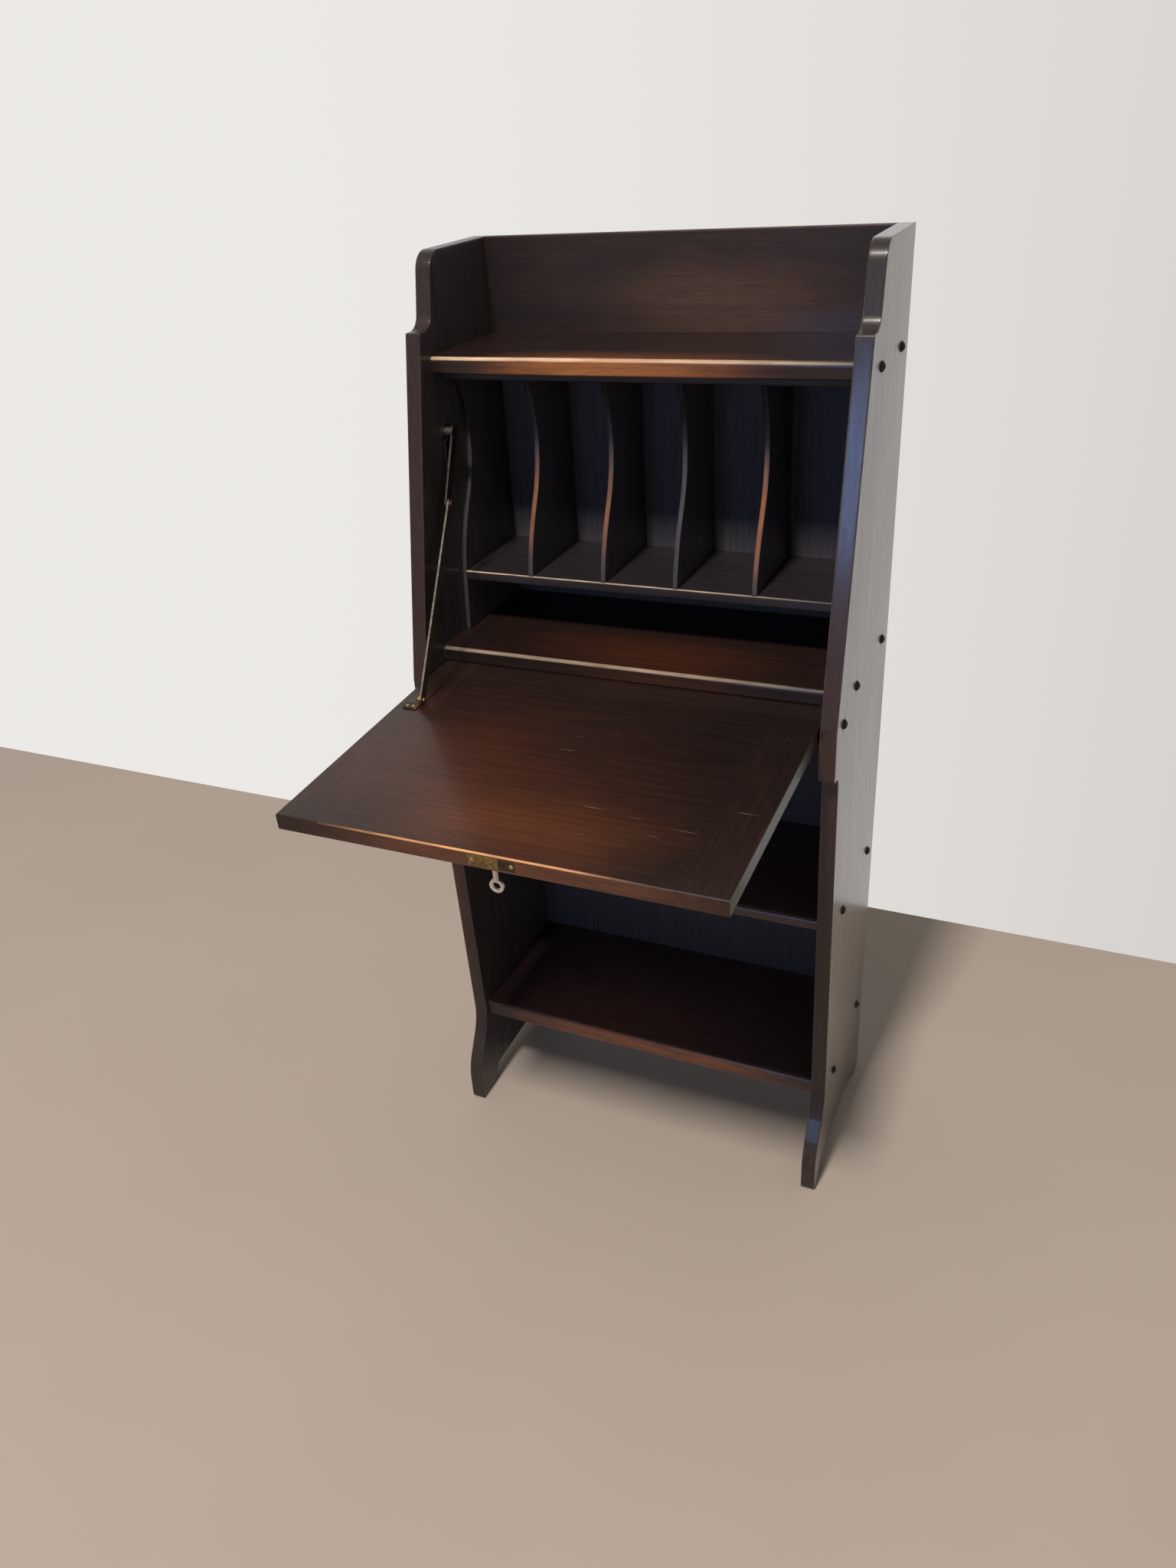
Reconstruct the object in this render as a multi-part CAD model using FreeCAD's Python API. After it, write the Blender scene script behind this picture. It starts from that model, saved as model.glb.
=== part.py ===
import FreeCAD, Part
import math
import os

from FreeCAD import Placement, Rotation, Vector

# A drop-front writing bureau with its fall open. Lengths are in millimetres.
# Depth is counted forward from the back of the case, height up from the floor.

# Side boards: outline corners from the gallery at the top to the feet
case_height = 1200.0
case_width = 538.0
case_depth = 273.7
side_board = 19.0
gallery_setback = 42.7
gallery_round = 25.0
scoop_round = 20.0
ledge_drop = 82.2
ledge_round = 2.0
lean_deg = 12.0
knee_rise = 4.0
knee_round = 4.0
knee_drop = 63.0
knee_step = 20.0
knee_lip_round = 4.0
knee_cove_round = 14.0
shin_setback = 40.7
flare_height = 128.5
flare_round = 85.0
toe_setback = 0.7
toe_height = 61.0
toe_round = 80.0
toe_tip_round = 6.0
front_foot_length = 43.5
rear_foot_length = 22.0
arch_height = 30.0
arch_front_run = 9.5
arch_rear_run = 40.0
arch_front_round = 14.0
arch_rear_round = 60.0

# Back boards and shelves
back_board = 8.0
shelf_board = 19.0
top_shelf_drop = 111.0
top_shelf_round = 5.0
floor_front_round = 5.0
mid_shelf_height = 428.0
mid_board = 15.0
bottom_shelf_height = 160.0
bottom_board = 23.0
lower_shelf_setback = 45.7
lower_shelf_round = 6.0
under_round = 2.0

# Round-headed wood screws through the sides, and nails through the back
screw_head_radius = 6.0
screw_shank_radius = 2.2
screw_head_height = 4.0
screw_length = 42.0
screw_tip = 6.0
screw_slot = 1.2
screw_slot_depth = 1.4
screw_clear = 0.1
screw_rear_depth = 37.0
screw_front_inset = 44.0
top_screw_inset = 28.0
nail_radius = 0.9
nail_head_radius = 2.2
nail_head = 0.8
nail_length = 24.0
nail_end_inset = 45.0
nails_per_shelf = 4

# Fall: a panel between two grooved cleats, turning on two pivot screws
fall_board = 19.0
fall_side_clear = 1.5
fall_top_clear = 2.0
fall_stop_clear = 0.5
tail_clear = 0.4
pivot_inset = 34.7
pivot_height = 713.0
fall_tail = 22.0
droop_deg = 2.2
fall_edge_round = 2.0
cleat_width = 52.0
tongue_board = 6.0
tongue_length = 12.0
tongue_inset = 15.0
tongue_clear = 0.2
pivot_radius = 2.9
pivot_head_radius = 6.2
pivot_length = 46.0
running_clear = 0.06

# Pigeonholes: a thin stepped unit with scooped uprights
pigeon_board = 6.0
pigeon_top_board = 10.5
pigeon_shelf_board = 12.0
pigeon_shelf_share = 0.247
pigeon_round = 1.5
pigeon_fall_clear = 1.2
# Middle of each divider across the clear width between the cheeks, from the left
divider_shares = (0.1891, 0.392, 0.584, 0.7855)
# Uprights at foot, brow, waist and top: height as a share of the unit's height, depth as a
# share of the depth to the closed fall, and the curve's run as a share of the shorter edge beside it
scoop_height_shares = (0, 0.36, 0.7458, 1)
scoop_depth_shares = (0.7198, 0.7586, 0.527, 0.8212)
scoop_run_shares = (0, 0.37, 0.82, 0)

# Lock: a mortice lock in the fall's front edge, its key below. Offsets across are from the key
lock_offset = 6.0
selvedge_length = 52.0
selvedge_width = 13.0
selvedge_plate = 2.0
selvedge_screw_edge = 4.0
lock_width = 38.0
lock_thick = 11.0
lock_deep = 30.0
lock_wall = 1.5
lock_clear = 0.3
bolt_offset = 18.0
bolt_width = 6.0
bolt_thick = 5.0
bolt_length = 18.0
bolt_inset = 1.0
bolt_throw = 9.0
bolt_tail_plate = 1.5
bolt_tail_width = 25.0
bolt_tail_behind = 10.0
bolt_tail_ahead = 2.0
key_backset = 16.0
key_shank_radius = 2.7
key_bit_radius = 6.5
key_bit_top = 0.5
key_bit_height = 4.0
key_bit_thick = 2.0
key_hang = 30.0
key_bow_radius = 8.0
key_bow_hole = 4.6
key_bow_thick = 3.0
keyhole_clear = 0.3
escutcheon_length = 22.0
escutcheon_width = 17.0
escutcheon_plate = 1.2
strike_length = 36.0
strike_width = 13.0
strike_plate = 1.5
strike_pocket = 9.0
strike_clear = 1.0
small_screw_radius = 1.2
small_screw_head = 2.4
small_screw_head_height = 1.4
small_screw_length = 11.0
small_screw_tip = 2.5
small_screw_slot = 0.6
small_screw_slot_depth = 0.5
small_screw_edge = 5.0

# Folding stay on the left: anchor plate, two arms, bracket on the fall
# Anchor height and upper arm are shares of the opening's height, the bracket's reach of the fall's length
stay_anchor_inset = 10.5
stay_anchor_share = 0.8011
stay_upper_share = 0.2395
bracket_reach_share = 0.2743
stay_plate = 1.5
stay_plate_width = 19.0
stay_strip_width = 10.0
stay_plate_drop = 42.0
stay_standoff = 13.0
stay_stud_radius = 2.5
stay_stud_head = 4.0
stay_shoulder_radius = 6.5
stay_arm_width = 12.0
stay_arm_thick = 2.5
stay_eye_radius = 8.0
stay_arm_gap = 0.4
stay_skew_gap = 0.75
stay_upper_deg = 24.2
stay_rivet_radius = 2.0
stay_rivet_head = 4.0
stay_rivet_cap = 1.5
bracket_lug_height = 6.5
bracket_lug_radius = 4.6
bracket_lug = 2.5
bracket_inboard = 32.0
bracket_plate = 2.0
bracket_length = 18.0
bracket_width = 12.0
bracket_forward = 9.0
bracket_pin_radius = 2.0
bracket_pin_head = 3.0
bracket_pin_cap = 2.2
cut_over = 2.0

# Worked out from the sizes above
lean = math.tan(math.radians(lean_deg))
lean_sin = math.sin(math.radians(lean_deg))
lean_cos = math.cos(math.radians(lean_deg))
droop_sin = math.sin(math.radians(droop_deg))
droop_cos = math.cos(math.radians(droop_deg))
half_width = case_width / 2
inner_half = half_width - side_board
knee_height = pivot_height + knee_rise
knee_under = knee_height - knee_drop
ledge_height = case_height - ledge_drop
ledge_depth = case_depth - (ledge_height - knee_height) * lean
gallery_depth = ledge_depth - gallery_setback
shin_depth = case_depth - shin_setback
toe_depth = case_depth - toe_setback
pivot_depth = case_depth - pivot_inset
lower_shelf_depth = case_depth - lower_shelf_setback
top_shelf_height = case_height - top_shelf_drop
top_shelf_under = top_shelf_height - shelf_board
fall_half_board = fall_board / 2
fall_half_width = inner_half - fall_side_clear
panel_half = fall_half_width - cleat_width
fall_ahead = (top_shelf_under - fall_top_clear - pivot_height - fall_half_board * lean_sin) / lean_cos
floor_under = pivot_height + fall_half_board * droop_cos + fall_tail * droop_sin + tail_clear
floor_height = floor_under + shelf_board
fall_nose = (fall_ahead - fall_edge_round) * droop_cos + (fall_half_board - fall_edge_round) * droop_sin
fall_reach = pivot_depth + fall_nose + fall_edge_round
back_y = fall_reach / 2
back_joint = top_shelf_height - shelf_board / 2


def fall_inner_depth(height):
    """Depth of the closed fall's inner face at a height."""
    return pivot_depth - fall_half_board / lean_cos - (height - pivot_height) * lean


def fall_outer_depth(height):
    """Depth of the closed fall's outer face at a height."""
    return fall_inner_depth(height) + fall_board / lean_cos


top_shelf_depth = fall_outer_depth(top_shelf_under)
floor_depth = fall_inner_depth(floor_height) - fall_stop_clear
pigeon_top_under = top_shelf_under - pigeon_top_board
pigeon_top_depth = fall_inner_depth(top_shelf_under) - pigeon_fall_clear
pigeon_rise = pigeon_top_under - floor_height
pigeon_shelf_height = floor_height + pigeon_rise * pigeon_shelf_share
opening_height = top_shelf_under - pivot_height
stay_anchor_height = pivot_height + opening_height * stay_anchor_share
stay_upper_length = opening_height * stay_upper_share
bracket_reach = fall_ahead * bracket_reach_share
stay_anchor_depth = fall_inner_depth(stay_anchor_height) - stay_anchor_inset


def spot(x, depth, height):
    """A point from its place across, its depth and its height."""
    return Vector(x, back_y - depth, height)


def block(x0, x1, depth0, depth1, height0, height1):
    """A box between two places across, two depths and two heights."""
    corner = spot(x0, depth1, height0)
    return Part.makeBox(x1 - x0, depth1 - depth0, height1 - height0, corner)


def rounded_wire(corners):
    """A closed outline in the depth and height plane; each corner is (depth, height, radius)."""
    spans = []
    count = len(corners)
    for index, (depth, height, radius) in enumerate(corners):
        here = spot(0, depth, height)
        before = spot(0, *corners[index - 1][:2])
        after = spot(0, *corners[(index + 1) % count][:2])
        back = (before - here).normalize()
        on = (after - here).normalize()
        half_turn = back.getAngle(on) / 2
        if radius == 0:
            spans.append((here, None, here))
            continue
        run = radius / math.tan(half_turn)
        inward = (back + on).normalize()
        middle = here + inward * (radius / math.sin(half_turn) - radius)
        spans.append((here + back * run, middle, here + on * run))
    edges = []
    for index, (start, middle, end) in enumerate(spans):
        if middle is not None:
            edges.append(Part.Arc(start, middle, end).toShape())
        edges.append(Part.LineSegment(end, spans[(index + 1) % count][0]).toShape())
    return Part.Wire(edges)


def slab(x0, x1, corners):
    """A board with the given outline, from one place across to another."""
    face = Part.Face(rounded_wire(corners))
    solid = face.extrude(Vector(x1 - x0, 0, 0))
    solid.translate(Vector(x0, 0, 0))
    return solid


def shelf(depth, height, board, top_round, bottom_round):
    """A shelf between the sides, with its front edge rounded above and below."""
    corners = [(back_board, height - board, 0), (depth, height - board, bottom_round)]
    corners += [(depth, height, top_round), (back_board, height, 0)]
    return slab(-inner_half, inner_half, corners)


def rod(start, end, radius):
    """A round rod from one point to another."""
    return Part.makeCylinder(radius, (end - start).Length, start, end - start)


def screw_shank(sizes, grow):
    """The shank and point of a screw, straight up; grow makes its bore."""
    _, radius, _, length, tip, _, _ = sizes
    up = Vector(0, 0, 1)
    shank = Part.makeCylinder(radius + grow, length - tip, Vector(0, 0, 0), up)
    point_length = tip * (radius + grow) / radius
    point = Part.makeCone(radius + grow, 0, point_length, Vector(0, 0, length - tip), up)
    return shank.fuse(point).removeSplitter()


def screw(head, way, sizes, grow=0, slotted=True):
    """A countersunk screw with its head's flat at a point; grow makes its hole."""
    head_radius, shank_radius, head_height, _, _, slot, slot_depth = sizes
    cone = Part.makeCone(head_radius + grow, shank_radius + grow, head_height)
    solid = cone.fuse(screw_shank(sizes, grow)).removeSplitter()
    if slotted:
        groove = Part.makeBox(2 * head_radius, slot, slot_depth, Vector(-head_radius, -slot / 2, 0))
        solid = solid.cut(groove)
    solid.Placement = Placement(head, Rotation(Vector(0, 0, 1), way))
    return solid


def round_screw(seat, way, sizes, grow=0, headed=True):
    """A round-headed screw with its head seated at a point; without the head, grow makes its bore."""
    head_radius, _, head_height, _, _, slot, slot_depth = sizes
    solid = screw_shank(sizes, grow)
    if headed:
        ball = (head_radius ** 2 + head_height ** 2) / (2 * head_height)
        span = 2 * head_radius
        corner = Vector(-head_radius, -head_radius, -head_height)
        dome = Part.makeSphere(ball, Vector(0, 0, ball - head_height))
        dome = dome.common(Part.makeBox(span, span, head_height, corner))
        groove = Part.makeBox(span, slot, slot_depth, Vector(-head_radius, -slot / 2, -head_height))
        solid = solid.fuse(dome).removeSplitter().cut(groove)
    solid.Placement = Placement(seat, Rotation(Vector(0, 0, 1), way))
    return solid


wood_screw_sizes = (screw_head_radius, screw_shank_radius, screw_head_height, screw_length, screw_tip,
                    screw_slot, screw_slot_depth)
pivot_sizes = (pivot_head_radius, pivot_radius, screw_head_height, pivot_length, screw_tip,
               screw_slot, screw_slot_depth)
small_screw_sizes = (small_screw_head, small_screw_radius, small_screw_head_height, small_screw_length,
                     small_screw_tip, small_screw_slot, small_screw_slot_depth)


def hang(shape):
    """Turn a piece of the fall from level to where it rests."""
    shape.rotate(spot(0, pivot_depth, pivot_height), Vector(1, 0, 0), droop_deg)
    return shape


def fall_spot(x, ahead, above):
    """A point on the level fall: ahead of the pivot, above the pivot's line."""
    return spot(x, pivot_depth + ahead, pivot_height + above)


def fall_block(x0, x1, ahead0, ahead1, above0, above1):
    """A box on the level fall."""
    return block(x0, x1, pivot_depth + ahead0, pivot_depth + ahead1,
                 pivot_height + above0, pivot_height + above1)


def side_corners():
    """Outline of a side board, from the back foot up and round to the arch."""
    gallery_foot = gallery_depth + (case_height - ledge_height) * lean
    heel = toe_depth - front_foot_length
    return [
        (0, 0, 0),
        (0, case_height, 0),
        (gallery_depth, case_height, gallery_round),
        (gallery_foot, ledge_height, scoop_round),
        (ledge_depth, ledge_height, ledge_round),
        (case_depth, knee_height, knee_round),
        (case_depth, knee_under, knee_lip_round),
        (case_depth - knee_step, knee_under, knee_cove_round),
        (shin_depth, flare_height, flare_round),
        (toe_depth, toe_height, toe_round),
        (toe_depth, 0, toe_tip_round),
        (heel, 0, 0),
        (heel - arch_front_run, arch_height, arch_front_round),
        (rear_foot_length + arch_rear_run, arch_height, arch_rear_round),
        (rear_foot_length, 0, 0),
    ]


# Each shelf: depth of its front screws, and the height of its middle, where its screws go
shelf_rows = [
    (top_shelf_depth - top_screw_inset, top_shelf_height - shelf_board / 2),
    (floor_depth - screw_front_inset, floor_height - shelf_board / 2),
    (lower_shelf_depth - screw_front_inset, mid_shelf_height - mid_board / 2),
    (lower_shelf_depth - screw_front_inset, bottom_shelf_height - bottom_board / 2),
]


def shelf_screw_set(grow=0, headed=True):
    """Two screws at each end of each shelf, heads seated on the side boards."""
    screws = []
    for hand in (-1, 1):
        for front, height in shelf_rows:
            for depth in (screw_rear_depth, front):
                seat = spot(hand * half_width, depth, height)
                screws.append(round_screw(seat, Vector(-hand, 0, 0), wood_screw_sizes, grow, headed))
    return screws


def pivot_screw(hand, grow=0, headed=True):
    """A pivot screw through a side board into the fall's end."""
    seat = spot(hand * half_width, pivot_depth, pivot_height)
    return round_screw(seat, Vector(-hand, 0, 0), pivot_sizes, grow, headed)


def side_screw_holes(hand):
    """Bores in one side board for its screws."""
    holes = [s for s in shelf_screw_set(screw_clear, False) if s.BoundBox.Center.x * hand > 0]
    return holes + [pivot_screw(hand, screw_clear, False)]


def side(hand):
    """One side board with its screw holes."""
    x0 = inner_half if hand > 0 else -half_width
    board = slab(x0, x0 + side_board, side_corners())
    return board.cut(side_screw_holes(hand))


def nail_rows():
    """Heights of the rows of nails: one in each shelf's back edge, two in the top shelf's."""
    quarter = shelf_board / 4
    heights = [back_joint + quarter, back_joint - quarter]
    return heights + [height for _, height in shelf_rows[1:]]


def nail_places():
    """Places across for the nails of a row."""
    first = -inner_half + nail_end_inset
    step = (inner_half - nail_end_inset) * 2 / (nails_per_shelf - 1)
    return [first + step * index for index in range(nails_per_shelf)]


def nail(x, height, grow=0):
    """A nail from the back, its head let in flush."""
    start = spot(x, 0, height)
    way = Vector(0, -1, 0)
    head = Part.makeCylinder(nail_head_radius + grow, nail_head + grow, start, way)
    shank = Part.makeCylinder(nail_radius + grow, nail_length + grow, start, way)
    return head.fuse(shank).removeSplitter()


def nail_set(grow=0):
    """All nails of the back."""
    return [nail(x, height, grow) for height in nail_rows() for x in nail_places()]


def case_boards():
    """Side boards, back boards and shelves, bored for their screws and nails."""
    holes = shelf_screw_set(screw_clear, False) + nail_set(screw_clear)
    bottom_under = bottom_shelf_height - bottom_board
    boards = {
        "gallery_back": block(-inner_half, inner_half, 0, back_board, back_joint, case_height),
        "back_panel": block(-inner_half, inner_half, 0, back_board, bottom_under, back_joint),
        "top_shelf": shelf(top_shelf_depth, top_shelf_height, shelf_board, top_shelf_round, under_round),
        "desk_floor": shelf(floor_depth, floor_height, shelf_board, floor_front_round, under_round),
        "mid_shelf": shelf(lower_shelf_depth, mid_shelf_height, mid_board, lower_shelf_round, under_round),
        "bottom_shelf": shelf(lower_shelf_depth, bottom_shelf_height, bottom_board, lower_shelf_round,
                              under_round),
    }
    for name in boards:
        near = [hole for hole in holes if hole.BoundBox.intersect(boards[name].BoundBox)]
        boards[name] = boards[name].cut(near)
    boards["top_shelf"] = boards["top_shelf"].cut(strike_cuts())
    boards["left_side"] = side(-1).cut(stay_plate_screws(screw_clear, False))
    boards["right_side"] = side(1)
    return boards


def scoop_corners():
    """Front edge of an upright, from foot to top, as (depth, height, radius)."""
    heights = [floor_height + pigeon_rise * share for share in scoop_height_shares]
    depths = [fall_inner_depth(height) * share for height, share in zip(heights, scoop_depth_shares)]
    points = [spot(0, depth, height) for depth, height in zip(depths, heights)]
    corners = [(depths[0], heights[0], 0)]
    for index in range(1, len(points) - 1):
        back = points[index - 1] - points[index]
        on = points[index + 1] - points[index]
        run = scoop_run_shares[index] * min(back.Length, on.Length)
        corners.append((depths[index], heights[index], run * math.tan(back.getAngle(on) / 2)))
    return corners + [(depths[-1], heights[-1], 0)]


def upright(x0, foot):
    """A scooped upright of the pigeonholes, standing at a given height."""
    corners = scoop_corners() + [(back_board, pigeon_top_under, 0), (back_board, floor_height, 0)]
    x1 = x0 + pigeon_board
    return slab(x0, x1, corners).common(block(x0, x1, 0, case_depth, foot, pigeon_top_under))


def pigeonholes():
    """Top board, cheeks, shelf and dividers."""
    (foot_depth, foot_height, _), (brow_depth, brow_height, _) = scoop_corners()[:2]
    slope = (foot_depth - brow_depth) / (brow_height - foot_height)
    shelf_depth = foot_depth - (pigeon_shelf_height - foot_height) * slope
    cheek_inner = inner_half - pigeon_board
    top = [(back_board, pigeon_top_under, 0), (pigeon_top_depth, pigeon_top_under, pigeon_round)]
    top += [(pigeon_top_depth, top_shelf_under, 0), (back_board, top_shelf_under, 0)]
    shelf_under = pigeon_shelf_height - pigeon_shelf_board
    tray = [(back_board, shelf_under, 0), (shelf_depth, shelf_under, pigeon_round)]
    tray += [(shelf_depth, pigeon_shelf_height, pigeon_round), (back_board, pigeon_shelf_height, 0)]
    pieces = {
        "pigeonhole_top": slab(-inner_half, inner_half, top),
        "pigeonhole_shelf": slab(-cheek_inner, cheek_inner, tray),
        "pigeonhole_cheek_left": upright(-inner_half, floor_height),
        "pigeonhole_cheek_right": upright(cheek_inner, floor_height),
    }
    for index, share in enumerate(divider_shares):
        x0 = cheek_inner * (2 * share - 1) - pigeon_board / 2
        pieces[f"pigeonhole_divider_{index + 1}"] = upright(x0, pigeon_shelf_height)
    return pieces


def fall_corners():
    """Outline of the level fall seen from its end."""
    rear = pivot_depth - fall_tail
    front = pivot_depth + fall_ahead
    low = pivot_height - fall_half_board
    high = pivot_height + fall_half_board
    return [(rear, low, fall_edge_round), (front, low, fall_edge_round),
            (front, high, fall_edge_round), (rear, high, fall_edge_round)]


def tongue(hand, grow=0):
    """The tongue at one end of the panel; grow makes the cleat's groove."""
    half = tongue_board / 2 + grow
    root = hand * (panel_half - tongue_length)
    tip = hand * (panel_half + tongue_length + grow)
    return fall_block(min(root, tip), max(root, tip), tongue_inset - fall_tail - grow,
                      fall_ahead - tongue_inset + grow, -half, half)


def keyhole(low, high, grow):
    """A keyhole cut between two heights: a round hole with a slot for the bit."""
    ahead = fall_ahead - key_backset
    half = key_bit_thick / 2 + grow
    hole = rod(fall_spot(0, ahead, low), fall_spot(0, ahead, high), key_shank_radius + grow)
    slot = fall_block(-half, half, ahead - key_bit_radius - grow, ahead, low, high)
    return hole.fuse(slot).removeSplitter()


def escutcheon_block():
    """The plate round the keyhole, let in flush below the fall."""
    ahead = fall_ahead - key_backset
    half = escutcheon_width / 2
    return fall_block(-half, half, ahead - escutcheon_length / 2, ahead + escutcheon_length / 2,
                      -fall_half_board, escutcheon_plate - fall_half_board)


def selvedge_block():
    """The lock's brass edge plate, flush in the fall's front edge."""
    half = selvedge_width / 2
    side_x = selvedge_length / 2
    return fall_block(lock_offset - side_x, lock_offset + side_x, fall_ahead - selvedge_plate, fall_ahead,
                      -half, half)


def lock_block(grow=0):
    """The lock's case behind the edge plate; grow makes its mortice."""
    half = lock_thick / 2 + grow
    side_x = lock_width / 2 + grow
    front = fall_ahead - selvedge_plate
    return fall_block(lock_offset - side_x, lock_offset + side_x, front - lock_deep - grow, front,
                      -half, half)


def selvedge_screw_set(grow=0, slotted=True):
    """Two small screws through the edge plate."""
    reach = selvedge_length / 2 - selvedge_screw_edge
    places = (lock_offset - reach, lock_offset + reach)
    return [screw(fall_spot(place, fall_ahead, 0), Vector(0, 1, 0), small_screw_sizes, grow, slotted)
            for place in places]


def bolt_slot(grow):
    """The way of the bolt through the edge plate."""
    half_x = bolt_width / 2 + grow
    half = bolt_thick / 2 + grow
    return fall_block(bolt_offset - half_x, bolt_offset + half_x, fall_ahead - selvedge_plate - cut_over,
                      fall_ahead + cut_over, -half, half)


def lock_bolt():
    """The sliding bolt: a square head with a thin tail over the key's bit."""
    front = fall_ahead - bolt_inset
    half = bolt_thick / 2
    right = bolt_offset + bolt_width / 2
    key_ahead = fall_ahead - key_backset
    head = fall_block(bolt_offset - bolt_width / 2, right, front - bolt_length, front, -half, half)
    tail = fall_block(right - bolt_tail_width, right, key_ahead - bolt_tail_behind,
                      key_ahead + bolt_tail_ahead, half - bolt_tail_plate, half)
    return head.fuse(tail).removeSplitter()


def key():
    """The key: a ring bow, a plain shank, and a bit inside the lock."""
    ahead = fall_ahead - key_backset
    bow_centre = -fall_half_board - key_hang
    bow_half = key_bow_thick / 2
    bow_start = fall_spot(0, ahead - bow_half, bow_centre)
    bow_end = fall_spot(0, ahead + bow_half, bow_centre)
    shank_foot = bow_centre + (key_bow_radius + key_bow_hole) / 2
    bow = rod(bow_start, bow_end, key_bow_radius)
    shank = rod(fall_spot(0, ahead, shank_foot), fall_spot(0, ahead, key_bit_top), key_shank_radius)
    half = key_bit_thick / 2
    bit_low = key_bit_top - key_bit_height
    bit = fall_block(-key_bit_radius, 0, ahead - half, ahead + half, bit_low, key_bit_top)
    solid = bow.fuse([shank, bit]).removeSplitter()
    eye_reach = Vector(0, cut_over, 0)
    return solid.cut(rod(bow_start + eye_reach, bow_end - eye_reach, key_bow_hole))


def strike_middle():
    """Depth where the closed fall's middle line meets the top shelf's underside."""
    return pivot_depth - (top_shelf_under - pivot_height) * lean


def strike_block(low, high, half_x, half_depth):
    """A block about the bolt's way into the top shelf, from one height to another."""
    middle = strike_middle()
    return block(bolt_offset - half_x, bolt_offset + half_x, middle - half_depth, middle + half_depth,
                 top_shelf_under + low, top_shelf_under + high)


def strike_pocket_block():
    """The hollow for the thrown bolt."""
    half_depth = bolt_thick / 2 + strike_clear + strike_pocket * lean / 2
    return strike_block(0, strike_pocket, bolt_width / 2 + strike_clear, half_depth)


def strike_screw_set(grow=0, slotted=True):
    """Two small screws holding the strike plate."""
    place = strike_length / 2 - small_screw_edge
    return [screw(spot(bolt_offset + hand * place, strike_middle(), top_shelf_under), Vector(0, 0, 1),
                  small_screw_sizes, grow, slotted) for hand in (-1, 1)]


def strike_plate_block():
    """The strike plate, let in flush under the top shelf's front edge."""
    return strike_block(0, strike_plate, strike_length / 2, strike_width / 2)


def strike_cuts():
    """What the top shelf loses to the strike plate, the bolt and the screws."""
    return [strike_plate_block(), strike_pocket_block()] + strike_screw_set(screw_clear, False)


def lock_pieces():
    """Lock, key, plates and their screws; all but the strike are on the fall."""
    front = fall_ahead - selvedge_plate
    half_x = lock_width / 2 - lock_wall
    half = lock_thick / 2 - lock_wall
    cavity = fall_block(lock_offset - half_x, lock_offset + half_x, front - lock_deep + lock_wall, front,
                        -half, half)
    case = lock_block().cut([cavity, keyhole(-lock_thick, 0, keyhole_clear)])
    plate = selvedge_block().cut([bolt_slot(lock_clear)] + selvedge_screw_set(screw_clear, False))
    shield = escutcheon_block().cut(keyhole(-fall_board, 0, keyhole_clear))
    pieces = {
        "lock_case": case,
        "lock_selvedge": plate,
        "escutcheon": shield,
        "lock_bolt": lock_bolt(),
        "key": key(),
        "selvedge_screws": Part.makeCompound(selvedge_screw_set()),
    }
    pieces = {name: hang(shape) for name, shape in pieces.items()}
    strike = strike_plate_block().cut([strike_pocket_block()] + strike_screw_set(screw_clear, False))
    pieces["strike_plate"] = strike
    pieces["strike_screws"] = Part.makeCompound(strike_screw_set())
    return pieces


def bracket_x():
    """Place across of the stay's lower pivot, the middle of the lower arm's thickness."""
    return bracket_inboard - inner_half


def bracket_pivot():
    """The stay's lower pivot on the level fall."""
    return fall_spot(bracket_x(), bracket_reach, fall_half_board + bracket_lug_height)


def stay_bracket_screws(grow=0, slotted=True):
    """Two small screws through the bracket's foot into the fall."""
    outer = bracket_x() - stay_arm_thick / 2 - stay_skew_gap - bracket_lug
    middle = bracket_reach + bracket_forward
    top = fall_half_board + bracket_plate
    step = (bracket_length - bracket_lug) / 4
    return [screw(fall_spot(outer - step * turn, middle, top), Vector(0, 0, -1), small_screw_sizes, grow,
                  slotted) for turn in (1, 3)]


def stay_bracket():
    """The foot plate on the fall with its upright lug."""
    lug_in = bracket_x() - stay_arm_thick / 2 - stay_skew_gap
    lug_out = lug_in - bracket_lug
    base = fall_half_board
    middle = bracket_reach + bracket_forward
    half = bracket_width / 2
    top = base + bracket_plate
    plate = fall_block(lug_in - bracket_length, lug_in, middle - half, middle + half, base, top)
    stem = fall_block(lug_out, lug_in, bracket_reach - bracket_lug_radius, bracket_reach + bracket_lug_radius,
                      base, base + bracket_lug_height)
    pivot = bracket_pivot()
    eye = rod(Vector(lug_out, pivot.y, pivot.z), Vector(lug_in, pivot.y, pivot.z), bracket_lug_radius)
    bore = rod(Vector(lug_out - cut_over, pivot.y, pivot.z), Vector(lug_in + cut_over, pivot.y, pivot.z),
               bracket_pin_radius + screw_clear)
    return plate.fuse([stem, eye]).removeSplitter().cut([bore] + stay_bracket_screws(screw_clear, False))


def stay_bracket_pin():
    """The pin through lug and arm, with a round cap at each end."""
    pivot = bracket_pivot()
    arm_in = bracket_x() + stay_arm_thick / 2 + stay_skew_gap
    lug_out = bracket_x() - stay_arm_thick / 2 - stay_skew_gap - bracket_lug
    outer = Vector(lug_out, pivot.y, pivot.z)
    inner = Vector(arm_in, pivot.y, pivot.z)
    cap = Vector(bracket_pin_cap, 0, 0)
    pin = rod(outer - cap, inner + cap, bracket_pin_radius)
    return pin.fuse([rod(outer - cap, outer, bracket_pin_head), rod(inner, inner + cap, bracket_pin_head)])


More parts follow.
